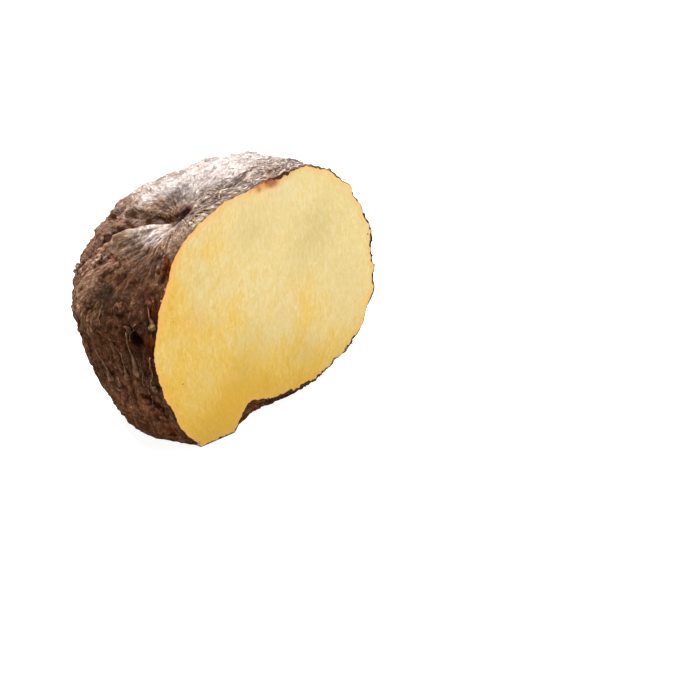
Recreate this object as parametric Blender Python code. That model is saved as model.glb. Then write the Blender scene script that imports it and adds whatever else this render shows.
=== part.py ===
# Elephant foot yam: a large corm, cut by one straight slice and standing on its base.
#
# Lengths in the tables and constants below are millimetres, in the frame of the cut:
# x runs to the right along the cut face, y runs into the corm behind the face, z is up,
# and zero is where the lobe of the cut face touches the ground.
# The finished corm is moved so that the part's origin is the bottom centre of its box.

import math
import random

import bmesh
import bpy
import numpy as np
from mathutils import Matrix, Vector, noise
from mathutils.bvhtree import BVHTree

MM = 0.001

# Middle of the corm's box in the frame of the cut, which becomes the part's origin
BOX_MIDDLE = Vector((53.7, 64.2, 0.0))

# Point inside the corm that its outlines are drawn round
CORE_X = 57.6
CORE_Z = 78.0

# The widest section lies this far behind the cut, and the corm reaches this far to either side of it
WIDEST = 28.7
REACH_BACK = 97.8
REACH_FRONT = 110.0

# Roundness of the corm's front-to-back profile: 2 is an ellipse, more is boxier
FULLNESS = 2.25

# Outlines round the core, as (degrees anticlockwise from the right, radius):
# the edge of the cut face, with the lobe it stands on and the notch beside it
FACE_OUTLINE = (
    (0, 84), (30, 85), (50, 86), (70, 82), (88, 76), (115, 76), (140, 81), (165, 80),
    (188, 85), (205, 86), (217, 91.5), (222, 94), (230, 96.5), (235, 97), (240, 93), (245, 90),
    (248.5, 85), (250.5, 74), (253, 67), (257, 65), (273, 66.5), (284, 69), (291, 72),
    (298, 72), (310, 77.5), (325, 83.5), (345, 85.5),
)
# the corm's girth behind it,
GIRTH_OUTLINE = (
    (0, 90), (35, 90), (65, 79), (90, 71), (120, 72), (150, 77), (176, 97), (190, 96),
    (202, 97), (212, 100), (221, 100), (232, 110), (245, 117), (262, 88), (280, 88),
    (300, 96), (330, 93),
)
# and how far behind the cut the corm reaches its girth, which is close behind the notch
GIRTH_DEPTH = ((0, 45), (190, 45), (228, 40), (245, 10), (262, 16), (285, 24), (315, 45))

# The underside flattens into the resting spot over this height
BASE_SOFTNESS = 2.0

# Shallow bowl on top, round the scar that the old leaf stalk left
BUD = np.array((11.5, 27.0, 140.0))
BOWL_DEPTH = 5.5
BOWL_RADIUS = 34.0

# The scar itself is a slanted slot in the bowl
SLOT_DIRECTION = np.array((0.80, -0.05, 0.60))
SLOT_HALF_LENGTH = 7.5
SLOT_HALF_WIDTH = 3.0
SLOT_DEPTH = 10.0

# A fold of skin runs from the slot down the shoulder, with a groove behind it
FOLD = np.array(((9, 28, 136), (8.5, 37, 131.5), (6, 46, 128), (2, 54, 124.5), (-3, 62, 119), (-8, 70, 112)))
FOLD_HEIGHT = 2.6
FOLD_WIDTH = 5.0
GROOVE_DEPTH = 5.0
GROOVE_WIDTH = 3.8
GROOVE_OFFSET = np.array((2.0, 6.0, 0.0))

# Hollows on the shoulder, as (place, depth, radius)
DENTS = (
    (np.array((8, 62, 128)), 3.0, 6.0),
    (np.array((10, 83, 124)), 2.5, 6.0),
    (np.array((29, 46, 143)), 1.6, 8.0),
)

# Wrinkles gather on the bud like the folds of a drawn purse
WRINKLE_COUNT = 23
WRINKLE_HEIGHT = 0.9
WRINKLE_START = 14.0
WRINKLE_END = 62.0

# and run on down the flanks as streaks, with this many widths round the bud
STREAK_FINENESS = 6.5
STREAK_LENGTH = 60.0
STREAK_HEIGHT = 2.2

# Broad lumps all over, as (width, height)
LUMPS = ((42.0, 2.2), (17.0, 1.8))

# Mesh of the bare corm
SPHERE_SUBDIVISIONS = 5
FINE_RADIUS = 45.0
FINEST_RADIUS = 15.0
NOTCH_ANGLES = (224, 268)
NOTCH_BAND = 12.0
MERGE_AT_CUT = 0.018

# Root scars: raised rings with a dimple, spread by a seeded draw and kept apart
SEED = 11
SCAR_COUNT = 100
SCAR_TRIES = 6000
SCAR_SPACING = 11.5
SCAR_SIDES = 7
SCAR_RADIUS = (2.1, 3.4)
SCAR_HEIGHT = 0.8
SCAR_SUNK = 1.5
SCAR_FOOT = 1.3
SCAR_TOP = 0.7
SCAR_RIM = 0.3
CLEAR_OF_CUT = 4.5
CLEAR_OF_BASE = 10.0
CLEAR_OF_BUD = 60.0
SHOULDER_RADIUS = 95.0
SHOULDER_SHARE = 0.35

# Scars that stand out on the flank, by place
PLACED_SCARS = ((-31, 27, 91), (-23, 9, 96), (-32, 20, 81), (-17, 12, 21), (-20, 14, 29), (-25, 58, 24))

# Dried roots lie on the skin and hang from a scar at their lower end, as (top, bottom)
PLACED_ROOTS = (
    ((-33, 20, 70), (-28, 17, 53)),
    ((-35, 26, 68), (-30, 26, 48)),
    ((-23, 9, 95), (-25, 5, 84)),
    ((-27, 5, 68), (-24, 10, 48)),
    ((-38, 42, 62), (-31, 40, 42)),
    ((-32, 31, 48), (-29, 34, 38)),
)
ROOT_COUNT = 16
ROOT_LENGTH = (11.0, 18.0)
ROOT_SLANT = 0.45
ROOT_THICK = 1.5
ROOT_THIN = 0.9
ROOT_SIDES = 6
ROOT_RAISED = 0.35

SKIN_COLOUR = (0.16, 0.088, 0.05, 1.0)
FLESH_COLOUR = (0.82, 0.58, 0.20, 1.0)


def smooth_step(x):
    x = np.clip(x, 0.0, 1.0)
    return x * x * (3.0 - 2.0 * x)


def outline_radius(outline, degrees):
    """Radius of a closed outline at the given angles, as a smooth curve through its points"""
    angle = np.array([point[0] for point in outline], float)
    radius = np.array([point[1] for point in outline], float)
    angle = np.concatenate((angle - 360.0, angle, angle + 360.0))
    radius = np.tile(radius, 3)
    slope = np.zeros_like(radius)
    slope[1:-1] = (radius[2:] - radius[:-2]) / (angle[2:] - angle[:-2])
    degrees = np.mod(degrees, 360.0)
    i = np.searchsorted(angle, degrees, side="right") - 1
    gap = angle[i + 1] - angle[i]
    t = (degrees - angle[i]) / gap
    start = (1.0 + 2.0 * t) * (1.0 - t) ** 2 * radius[i] + t * (1.0 - t) ** 2 * gap * slope[i]
    end = t * t * (3.0 - 2.0 * t) * radius[i + 1] + t * t * (t - 1.0) * gap * slope[i + 1]
    return start + end


def bare_corm(directions):
    """Points of the smooth corm in the given directions from its core; +y is away from the cut"""
    across, along, up = directions.T
    degrees = np.degrees(np.arctan2(up, across))
    depth = WIDEST + np.where(along > 0.0, REACH_BACK, REACH_FRONT) * along
    profile = (1.0 - np.abs(along) ** FULLNESS) ** (1.0 / FULLNESS)
    profile_at_cut = (1.0 - (WIDEST / REACH_FRONT) ** FULLNESS) ** (1.0 / FULLNESS)
    inward = smooth_step(depth / outline_radius(GIRTH_DEPTH, degrees))
    at_face = outline_radius(FACE_OUTLINE, degrees) / profile_at_cut
    radius = profile * ((1.0 - inward) * at_face + inward * outline_radius(GIRTH_OUTLINE, degrees))
    x = CORE_X + radius * np.cos(np.radians(degrees))
    z = CORE_Z + radius * np.sin(np.radians(degrees))
    return np.stack((x, depth, z), axis=1)


def hump(distance, width):
    return np.exp(-((distance / width) ** 2))


def distance_to_path(points, path):
    nearest = np.full(len(points), np.inf)
    for start, end in zip(path[:-1], path[1:]):
        run = end - start
        share = np.clip((points - start) @ run / (run @ run), 0.0, 1.0)
        nearest = np.minimum(nearest, np.linalg.norm(points - start - share[:, None] * run, axis=1))
    return nearest


def noise_at(points, width):
    return np.array([noise.noise(Vector(point) / width) for point in points])


def relief(points):
    """Height of the corm's relief over the bare form, at its points"""
    height = np.zeros(len(points))
    for width, size in LUMPS:
        height += size * noise_at(points, width)

    from_bud = points - BUD
    distance = np.linalg.norm(from_bud, axis=1)
    behind_cut = smooth_step(points[:, 1] / 16.0)
    height -= BOWL_DEPTH * hump(distance, BOWL_RADIUS) * behind_cut

    along_slot = from_bud @ SLOT_DIRECTION
    beside_slot = np.sqrt(np.maximum(distance**2 - along_slot**2, 0.0))
    height -= SLOT_DEPTH * np.exp(-((along_slot / SLOT_HALF_LENGTH) ** 4)) * hump(beside_slot, SLOT_HALF_WIDTH)

    height += FOLD_HEIGHT * hump(distance_to_path(points, FOLD), FOLD_WIDTH)
    height -= GROOVE_DEPTH * hump(distance_to_path(points, FOLD + GROOVE_OFFSET), GROOVE_WIDTH)
    for place, depth, radius in DENTS:
        height -= depth * hump(np.linalg.norm(points - place, axis=1), radius)

    sideways = np.arctan2(from_bud[:, 1], from_bud @ SLOT_DIRECTION)
    wander = noise_at(points, 30.0)
    waves = np.sin(WRINKLE_COUNT * sideways + 3.0 * wander)
    grow = smooth_step((distance - WRINKLE_START) / 12.0)
    fade = 1.0 - smooth_step((distance - WRINKLE_START) / (WRINKLE_END - WRINKLE_START))
    height += WRINKLE_HEIGHT * waves * grow * fade * (0.35 + 0.65 * behind_cut)

    round_bud = np.stack((np.cos(sideways), np.sin(sideways)), axis=1) * STREAK_FINENESS
    streaks = np.column_stack((round_bud, distance / STREAK_LENGTH))
    height += STREAK_HEIGHT * noise_at(streaks, 1.0) * (1.0 - fade)
    return height


def corm_surface(directions):
    """Points of the corm's skin in the given directions, with its relief and its flat resting spot"""
    points = bare_corm(directions)
    at_cut = points[:, 1] < 0.01
    outward = points - (CORE_X, WIDEST, CORE_Z)
    outward /= np.linalg.norm(outward, axis=1)[:, None]
    points += outward * relief(points)[:, None]
    points[:, 1] = np.where(at_cut, 0.0, np.maximum(points[:, 1], 0.05))

    soft = BASE_SOFTNESS * (np.clip(points[:, 2] / BASE_SOFTNESS, -1.0, 1.0) + 1.0) ** 2 / 4.0
    points[:, 2] = np.where(points[:, 2] > BASE_SOFTNESS, points[:, 2], soft)
    return points


def directions_of(bm, cut_at):
    """Unit directions of a mesh's points; those on the cut keep to its plane"""
    found = np.array([vert.co[:] for vert in bm.verts])
    on_cut = found[:, 1] < cut_at + 1e-5
    found /= np.linalg.norm(found, axis=1)[:, None]
    found[on_cut, 1] = cut_at
    return found


def refine(bm, cut_at, wanted):
    """Halve the edges whose middle the rule asks for, and triangulate round them"""
    bm.verts.index_update()
    points = bare_corm(directions_of(bm, cut_at))
    edges = []
    for edge in bm.edges:
        middle = (points[edge.verts[0].index] + points[edge.verts[1].index]) / 2.0
        if wanted(middle):
            edges.append(edge)
    bmesh.ops.subdivide_edges(bm, edges=edges, cuts=1)
    bmesh.ops.triangulate(bm, faces=bm.faces)


def near_bud(radius):
    return lambda point: np.linalg.norm(point - BUD) < radius


def near_notch(point):
    degrees = math.degrees(math.atan2(point[2] - CORE_Z, point[0] - CORE_X)) % 360.0
    return point[1] < NOTCH_BAND and NOTCH_ANGLES[0] < degrees < NOTCH_ANGLES[1]


def bare_mesh():
    """The corm before its scars: a sphere sliced once, drawn out to the corm's form and closed by a flat face"""
    cut_at = -WIDEST / REACH_FRONT
    bm = bmesh.new()
    bmesh.ops.create_icosphere(bm, subdivisions=SPHERE_SUBDIVISIONS, radius=1.0)
    bmesh.ops.bisect_plane(
        bm,
        geom=bm.verts[:] + bm.edges[:] + bm.faces[:],
        dist=MERGE_AT_CUT,
        plane_co=(0.0, cut_at, 0.0),
        plane_no=(0.0, -1.0, 0.0),
        use_snap_center=True,
        clear_outer=True,
    )
    bmesh.ops.triangulate(bm, faces=bm.faces)
    refine(bm, cut_at, near_bud(FINE_RADIUS))
    refine(bm, cut_at, near_bud(FINEST_RADIUS))
    refine(bm, cut_at, near_notch)
    for vert, point in zip(bm.verts, corm_surface(directions_of(bm, cut_at))):
        vert.co = point

    rim = [edge for edge in bm.edges if edge.is_boundary]
    cut_face = bmesh.ops.contextual_create(bm, geom=rim)["faces"]
    for face in cut_face:
        face.material_index = 1
    base = [face for face in bm.faces if all(vert.co.z < 1e-6 for vert in face.verts)]
    bmesh.ops.dissolve_faces(bm, faces=base, use_verts=True)
    bmesh.ops.recalc_face_normals(bm, faces=bm.faces)
    return bm


def scar_places(skin):
    """Seeded places for the root scars on the skin: all round, sparse on the shoulder, none on bud, base or cut"""
    draw = random.Random(SEED)
    places = [skin.find_nearest(Vector(place))[:2] for place in PLACED_SCARS]
    root_ends = [Vector(end) for root in PLACED_ROOTS for end in root]
    for _ in range(SCAR_TRIES):
        direction = Vector((draw.gauss(0, 1), draw.gauss(0, 1), draw.gauss(0, 1))).normalized()
        lucky = draw.random() < SHOULDER_SHARE
        if direction.y < -WIDEST / REACH_FRONT or len(places) >= SCAR_COUNT:
            continue
        guess = Vector(bare_corm(np.array([direction]))[0])
        place, normal = skin.find_nearest(guess)[:2]
        from_bud = (place - Vector(BUD)).length
        if place.y < CLEAR_OF_CUT or place.z < CLEAR_OF_BASE or from_bud < CLEAR_OF_BUD:
            continue
        if from_bud < SHOULDER_RADIUS and not lucky:
            continue
        if any((place - other).length < SCAR_SPACING for other, _ in places):
            continue
        if any((place - end).length < SCAR_SPACING for end in root_ends):
            continue
        places.append((place, normal))
    return places


def root_runs(skin, scars):
    """Tops and bottoms of the dried roots: the placed ones, then a seeded few that hang from scars"""
    draw = random.Random(SEED + 1)
    runs = [(skin.find_nearest(Vector(top))[0], skin.find_nearest(Vector(end))[0]) for top, end in PLACED_ROOTS]
    candidates = [place for place, _ in scars[len(PLACED_SCARS):]]
    for place in draw.sample(candidates, ROOT_COUNT):
        sideways = Vector((place.y - WIDEST, CORE_X - place.x, 0.0)).normalized()
        climb = Vector((0.0, 0.0, 1.0)) + sideways * draw.uniform(-ROOT_SLANT, ROOT_SLANT)
        reach = place + climb.normalized() * draw.uniform(*ROOT_LENGTH)
        runs.append((skin.find_nearest(reach)[0], place))
    return [run for run in runs if min(end.y for end in run) > ROOT_THICK]


def cone_between(start, end, start_radius, end_radius, sides):
    """Closed cone from one point to another, as a mesh of its own"""
    bm = bmesh.new()
    run = end - start
    bmesh.ops.create_cone(
        bm, cap_ends=True, segments=sides, radius1=start_radius, radius2=end_radius, depth=run.length
    )
    turn = run.to_track_quat("Z", "Y").to_matrix().to_4x4()
    bmesh.ops.transform(bm, matrix=Matrix.Translation((start + end) / 2.0) @ turn, verts=bm.verts)
    return bm


def scar_mesh(place, normal, radius):
    """One root scar: a low cone sunk into the skin, its top pressed in to leave a rim"""
    foot = place - normal * SCAR_SUNK
    crest = place + normal * SCAR_HEIGHT
    bm = cone_between(foot, crest, radius * SCAR_FOOT, radius * SCAR_TOP, SCAR_SIDES)
    bm.normal_update()
    top = max(bm.faces, key=lambda face: face.calc_center_median().dot(normal))
    bmesh.ops.inset_individual(bm, faces=[top], thickness=radius * SCAR_RIM, depth=-SCAR_HEIGHT * 0.6)
    return bm


def to_part_frame(bm):
    bmesh.ops.translate(bm, verts=bm.verts, vec=-BOX_MIDDLE)
    bmesh.ops.scale(bm, verts=bm.verts, vec=(MM, MM, MM))


def add_object(name, bm, collection):
    to_part_frame(bm)
    mesh = bpy.data.meshes.new(name)
    bm.to_mesh(mesh)
    bm.free()
    thing = bpy.data.objects.new(name, mesh)
    collection.objects.link(thing)
    return thing


def make_material(name, colour, roughness):
    material = bpy.data.materials.new(name)
    material.use_nodes = True
    shader = material.node_tree.nodes["Principled BSDF"]
    shader.inputs["Base Color"].default_value = colour
    shader.inputs["Roughness"].default_value = roughness
    shader.inputs["Metallic"].default_value = 0.0
    return material


def make_collection(name):
    collection = bpy.data.collections.new(name)
    bpy.context.scene.collection.children.link(collection)
    return collection


def add_growths(collection, skin):
    """Root scars and dried roots, as small solids sunk into the skin"""
    draw = random.Random(SEED + 2)
    scars = scar_places(skin)
    roots = root_runs(skin, scars)
    for number, (place, normal) in enumerate(scars):
        add_object(f"root scar {number}", scar_mesh(place, normal, draw.uniform(*SCAR_RADIUS)), collection)
    for number, (top, end) in enumerate(roots):
        lift = (skin.find_nearest(end)[1] + skin.find_nearest(top)[1]) * ROOT_RAISED / 2.0
        root = cone_between(end + lift, top + lift, ROOT_THICK, ROOT_THIN, ROOT_SIDES)
        add_object(f"dried root {number}", root, collection)


def fuse(thing, collection):
    """Grow the collection's solids onto the object, then drop them"""
    union = thing.modifiers.new("root scars", "BOOLEAN")
    union.operation = "UNION"
    union.operand_type = "COLLECTION"
    union.collection = collection
    union.solver = "EXACT"
    graph = bpy.context.evaluated_depsgraph_get()
    joined = bpy.data.meshes.new_from_object(thing.evaluated_get(graph))
    thing.modifiers.clear()
    thing.data = joined
    for growth in list(collection.objects):
        bpy.data.objects.remove(growth, do_unlink=True)
    bpy.data.collections.remove(collection)


def build():
    for thing in list(bpy.data.objects):
        bpy.data.objects.remove(thing, do_unlink=True)
    model = make_collection("elephant foot yam")
    growths = make_collection("growths")
    bm = bare_mesh()
    skin = BVHTree.FromBMesh(bm)
    corm = add_object("corm", bm, model)
    corm.data.materials.append(make_material("corky skin", SKIN_COLOUR, 0.8))
    corm.data.materials.append(make_material("cut flesh", FLESH_COLOUR, 0.5))
    add_growths(growths, skin)
    fuse(corm, growths)
    corm.data.shade_smooth()
    corm.data.set_sharp_from_angle(angle=math.radians(35))


build()
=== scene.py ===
import math
import random
from functools import reduce

import bmesh
import bpy
import numpy as np
from mathutils import Matrix, Vector, kdtree, noise
from mathutils.bvhtree import BVHTree


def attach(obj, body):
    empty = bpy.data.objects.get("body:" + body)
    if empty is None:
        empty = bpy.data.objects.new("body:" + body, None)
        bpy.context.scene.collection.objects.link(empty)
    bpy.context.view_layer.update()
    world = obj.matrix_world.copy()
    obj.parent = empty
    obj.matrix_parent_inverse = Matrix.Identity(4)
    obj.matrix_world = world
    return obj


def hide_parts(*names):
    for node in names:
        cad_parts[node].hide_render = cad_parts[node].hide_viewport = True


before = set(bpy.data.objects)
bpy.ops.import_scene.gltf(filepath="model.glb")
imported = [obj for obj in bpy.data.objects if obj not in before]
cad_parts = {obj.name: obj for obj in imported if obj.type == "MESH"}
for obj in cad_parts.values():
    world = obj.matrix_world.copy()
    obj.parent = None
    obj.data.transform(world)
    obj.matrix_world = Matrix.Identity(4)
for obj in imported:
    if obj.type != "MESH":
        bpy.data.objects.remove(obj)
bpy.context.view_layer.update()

# The corm: the swollen underground stem of the plant, grown as one body and sliced once.
# Its corky skin and the moist flesh of the cut are one closed surface, drawn out from a sphere.
# Lengths in this file are millimetres in the frame of the cut: x to the right along the cut
# face, y into the corm, z up, from the place where the lobe of the face meets the ground.
MM = 0.001
BOX_MIDDLE = Vector((53.7, 64.2, 0.0))

# The core that the outlines are drawn round, and the reach behind and before the widest section
CORE_X = 57.6
CORE_Z = 78.0
WIDEST = 28.7
REACH_BACK = 97.8
REACH_FRONT = 110.0
FULLNESS = 2.25
CUT_AT = -WIDEST / REACH_FRONT

# Outlines of the cut face and of the corm's girth, and how far behind the cut it reaches that girth
FACE_OUTLINE = (
    (0, 84), (30, 85), (50, 86), (70, 82), (88, 76), (115, 76), (140, 81), (165, 80),
    (188, 85), (205, 86), (217, 91.5), (222, 94), (230, 96.5), (235, 97), (240, 93), (245, 90),
    (248.5, 85), (250.5, 74), (253, 67), (257, 65), (273, 66.5), (284, 69), (291, 72),
    (298, 72), (310, 77.5), (325, 83.5), (345, 85.5),
)
GIRTH_OUTLINE = (
    (0, 90), (35, 90), (65, 79), (90, 71), (120, 72), (150, 77), (176, 97), (190, 96),
    (202, 97), (212, 100), (221, 100), (232, 110), (245, 117), (262, 88), (280, 88),
    (300, 96), (330, 93),
)
GIRTH_DEPTH = ((0, 45), (190, 45), (228, 40), (245, 10), (262, 16), (285, 24), (315, 45))
BASE_SOFTNESS = 2.0

# The bowl round the scar of the old leaf stalk, the slot of the scar, and the fold beside it
BUD = np.array((11.5, 27.0, 140.0))
BOWL_DEPTH = 5.5
BOWL_RADIUS = 34.0
SLOT_DIRECTION = np.array((0.80, -0.05, 0.60))
SLOT_HALF_LENGTH = 7.5
SLOT_HALF_WIDTH = 3.0
SLOT_DEPTH = 10.0
FOLD = ((9, 28, 136), (8.5, 37, 131.5), (6, 46, 128), (2, 54, 124.5), (-3, 62, 119), (-8, 70, 112))
FOLD_HEIGHT = 2.6
FOLD_WIDTH = 5.0
GROOVE_DEPTH = 5.0
GROOVE_WIDTH = 3.8
GROOVE_OFFSET = (2.0, 6.0, 0.0)
DENTS = (((8, 62, 128), 3.0, 6.0), ((10, 83, 124), 2.5, 6.0), ((29, 46, 143), 1.6, 8.0))
BEHIND_CUT = 16.0
WRINKLE_COUNT = 23
WRINKLE_HEIGHT = 0.5
WRINKLES_GROW = (14.0, 26.0)
WRINKLES_FADE = (62.0, 14.0)
WRINKLE_WANDER = ((30.0, 3.0),)
WRINKLE_AT_CUT = 0.35
STREAK_FINENESS = 6.5
STREAK_LENGTH = 60.0
STREAK_HEIGHT = 2.2
LUMPS = ((42.0, 2.2), (17.0, 1.8))

# Fine relief, with noise as (width, height): wrinkles that run away from the bud, as (width, length,
# height), crumples, a rough crust in patches, and sharp wrinkles that fan out beside the bud
BAND_DISTANCE = 25.0
NEAREST_BAND = 3.0
BAND_SHIFT = 37.0
WANDER = ((19.0, 3.0), (7.0, 1.6))
WANDER_ALONG = ((11.0, 2.5),)
WANDER_FROM = 12.0
WRINKLES = ((4.4, 20.0, 1.7), (2.3, 9.0, 1.4))
WRINKLE_FLOOR = 0.2
RIDGES_GROW = (45.0, 85.0)
PATCHES = ((22.0, 0.9),)
PATCHES_LEAST = 0.75
CRUMPLES = ((8.5, 1.5), (3.6, 1.0))
CRUMPLES_AT_BUD = 0.5
# Share of the crumples that also colours the bark, lighter on crests and darker in hollows, partly as painted
# shade
CRUMPLES_IN_RUBBING_AND_SHADE = 0.25
BOLD_PLACE = (-2.0, 62.0, 118.0)
BOLD_RADIUS = 34.0
BOLDNESS = 0.7
CRUST = ((2.3, 0.9), (1.3, 0.5))
CRUST_PATCHES = ((26.0, 1.0),)
CRUST_BEGINS = (-0.05, 0.20)
CRUST_FLOOR = 0.10
CRUST_HEIGHT = 1.3
CRUST_AT_BUD = 0.2
CRUST_GROWS = (34.0, 52.0)
FAN_COUNT = 46
FAN_HEIGHT = 1.6
FAN_GROWS = (9.0, 18.0)
FAN_FADES = (50.0, 30.0)
FAN_NEAR_CUT = (36.0, 18.0)
FAN_WANDER = ((16.0, 1.6), (6.0, 0.8))
FAN_WANDER_FROM = 8.0
FAN_SWING = ((12.0, 1.5),)
FAN_PATCHES = ((9.0, 1.0),)
FAN_PATCHES_LEAST = 0.75
FAN_FLOOR = 0.6
FAN_AWAY_FROM_CUT = 0.30

# The relief is lowered close behind the cut at the upper right, and evened out towards the cut at the left
EDGE_DROP = 1.6
DROP_ACROSS = (78.0, 94.0)
DROP_UP = (112.0, 132.0)
DROP_BEGINS = (0.0, 2.5)
DROP_ENDS = (21.0, 5.0)
LEFT_EVENED = 0.6
LEFT_ACROSS = (CORE_X + 20.0, CORE_X - 20.0)
LEFT_UP = (4.0, 14.0)
LEFT_BAND = (5.0, 0.0)

# Cracks and furrows in the skin of the flank and shoulder, each a path with its depth and half width,
# and how much darker they are coloured than they are deep, as dirt and painted shade
CRACK_DARKNESS = 1.3
CRACKS = (
    (((-24.6, 20, 35.6), (-22.5, 16.5, 34.6), (-20.2, 13, 33.0), (-18.8, 10.5, 31.0)), 2.4, 1.5),
    (((-22.6, 38, 17.6), (-19.6, 33, 14.6)), 1.6, 1.2),
    (((-16.6, 18, 19.0), (-15.8, 13.5, 18.6)), 2.0, 1.5),
    (((-11.6, 13.5, 7.6), (-10.0, 9.5, 8.2)), 1.4, 1.1),
    (((-29.6, 18, 80.4), (-29.6, 14, 77.4), (-29.4, 11.5, 75.0)), 2.4, 1.9),
    (((-31.5, 25, 76), (-30.8, 22, 78.5)), 1.4, 1.3),
    (((9.4, 69.5, 125.4), (9.6, 64.5, 124.8)), 3.4, 2.8),
    (((9.6, 89.5, 119.0), (8.6, 84.0, 119.6)), 1.8, 1.5),
    (((-3.5, 24, 121.8), (-5.4, 33.4, 115.6), (-9.5, 40.5, 113.8)), 1.8, 1.5),
    (((-9.6, 12.5, 120.5), (-10.8, 21, 115.2)), 1.9, 3.2),
    (((-9.2, 66.5, 113.6), (-11.6, 67.5, 110.6)), 1.9, 3.4),
)

# Places where the skin stands fuller than the bare form, or less so: (place, height, radius)
SWELLS = (
    ((3.5, 92.5, 110.5), 4.4, 17.0),
    ((-36.5, 69.4, 80.0), -1.7, 8.0),
    ((12.6, 87.5, 123.0), 2.2, 5.0),
    ((11.5, 73.5, 127.5), 1.8, 4.5),
    ((-2.9, 20.0, 125.5), 1.5, 4.0),
    ((-3.5, 30.0, 120.5), 1.5, 3.5),
    ((-9.4, 5.5, 124.0), 1.2, 3.5),
    ((-4.5, 62.5, 117.8), 1.3, 4.0),
)

SPHERE_SUBDIVISIONS = 7
ROUGH_SUBDIVISIONS = 5
MERGE_AT_CUT = 0.005
ON_CUT = 1e-5
LEAST_DEPTH = 0.05
NOTCH_ANGLE = 250.0


def smooth_step(x):
    x = np.clip(x, 0.0, 1.0)
    return x * x * (3.0 - 2.0 * x)


def rise(value, start, end):
    """0 at the start and 1 at the end, smooth between; the end may be the smaller"""
    return smooth_step((value - start) / (end - start))


def hump(distance, width):
    return np.exp(-((distance / width) ** 2))


def distance_to(points, place):
    return np.linalg.norm(points - place, axis=1)


def noise_at(points, width=1.0):
    return np.array([noise.noise(Vector(point) / width) for point in points])


def rough(points, layers):
    """Noise in layers of (width, height)"""
    return sum(height * noise_at(points, width) for width, height in layers)


def outline_radius(outline, degrees):
    """Radius of a closed outline at the given angles, as a smooth curve through its points"""
    angle = np.array([point[0] for point in outline], float)
    radius = np.array([point[1] for point in outline], float)
    angle = np.concatenate((angle - 360.0, angle, angle + 360.0))
    radius = np.tile(radius, 3)
    slope = np.zeros_like(radius)
    slope[1:-1] = (radius[2:] - radius[:-2]) / (angle[2:] - angle[:-2])
    degrees = np.mod(degrees, 360.0)
    i = np.searchsorted(angle, degrees, side="right") - 1
    gap = angle[i + 1] - angle[i]
    t = (degrees - angle[i]) / gap
    start = (1.0 + 2.0 * t) * (1.0 - t) ** 2 * radius[i] + t * (1.0 - t) ** 2 * gap * slope[i]
    end = t * t * (3.0 - 2.0 * t) * radius[i + 1] + t * t * (t - 1.0) * gap * slope[i + 1]
    return start + end


def bare_corm(directions):
    """Points of the smooth corm in the given directions from its core; +y is away from the cut"""
    across, along, up = directions.T
    degrees = np.degrees(np.arctan2(up, across))
    depth = WIDEST + np.where(along > 0.0, REACH_BACK, REACH_FRONT) * along
    profile = (1.0 - np.abs(along) ** FULLNESS) ** (1.0 / FULLNESS)
    profile_at_cut = (1.0 - (WIDEST / REACH_FRONT) ** FULLNESS) ** (1.0 / FULLNESS)
    inward = smooth_step(depth / outline_radius(GIRTH_DEPTH, degrees))
    at_face = outline_radius(FACE_OUTLINE, degrees) / profile_at_cut
    radius = profile * ((1.0 - inward) * at_face + inward * outline_radius(GIRTH_OUTLINE, degrees))
    x = CORE_X + radius * np.cos(np.radians(degrees))
    z = CORE_Z + radius * np.sin(np.radians(degrees))
    return np.stack((x, depth, z), axis=1)


def distance_to_path(points, path):
    path = np.array(path, float)
    nearest = np.full(len(points), np.inf)
    for start, end in zip(path[:-1], path[1:]):
        run = end - start
        share = np.clip((points - start) @ run / (run @ run), 0.0, 1.0)
        nearest = np.minimum(nearest, np.linalg.norm(points - start - share[:, None] * run, axis=1))
    return nearest


def way_from_bud(points):
    """The angle round the bud at which points lie, and their distance from it"""
    from_bud = points - BUD
    return np.arctan2(from_bud[:, 1], from_bud @ SLOT_DIRECTION), distance_to(points, BUD)


def broad_relief(points):
    """Height of the main relief over the bare form, and the part of it that is folds and creases"""
    sideways, distance = way_from_bud(points)
    behind_cut = rise(points[:, 1], 0.0, BEHIND_CUT)
    swells = rough(points, LUMPS) - BOWL_DEPTH * hump(distance, BOWL_RADIUS) * behind_cut

    along_slot = (points - BUD) @ SLOT_DIRECTION
    beside_slot = np.sqrt(np.maximum(distance**2 - along_slot**2, 0.0))
    slot = np.exp(-((along_slot / SLOT_HALF_LENGTH) ** 4)) * hump(beside_slot, SLOT_HALF_WIDTH)
    creases = -SLOT_DEPTH * slot
    creases += FOLD_HEIGHT * hump(distance_to_path(points, FOLD), FOLD_WIDTH)
    creases -= GROOVE_DEPTH * hump(distance_to_path(points - GROOVE_OFFSET, FOLD), GROOVE_WIDTH)
    for place, depth, radius in DENTS:
        creases -= depth * hump(distance_to(points, place), radius)

    waves = np.sin(WRINKLE_COUNT * sideways + rough(points, WRINKLE_WANDER))
    fade = rise(distance, *WRINKLES_FADE)
    reach = rise(distance, *WRINKLES_GROW) * fade
    creases += WRINKLE_HEIGHT * waves * reach * (WRINKLE_AT_CUT + (1.0 - WRINKLE_AT_CUT) * behind_cut)
    circle = np.column_stack((np.cos(sideways), np.sin(sideways))) * STREAK_FINENESS
    streaks = np.column_stack((circle, distance / STREAK_LENGTH))
    swells += STREAK_HEIGHT * noise_at(streaks) * (1.0 - fade)
    return swells + creases, creases


def streak_bands(distance):
    """The band of distance from the bud in which points lie, and how far they are into the next one"""
    level = np.log2(np.maximum(distance, NEAREST_BAND) / BAND_DISTANCE)
    band = np.floor(level)
    return band, smooth_step(level - band)


def streak_lines(sideways, distance, band, width, length):
    """Where points lie among streaks of the given width and length, in one band of distance from the bud"""
    fineness = BAND_DISTANCE / width * 2.0**band
    along = distance / length + BAND_SHIFT * band
    return np.column_stack((np.cos(sideways) * fineness, np.sin(sideways) * fineness, along))


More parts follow.
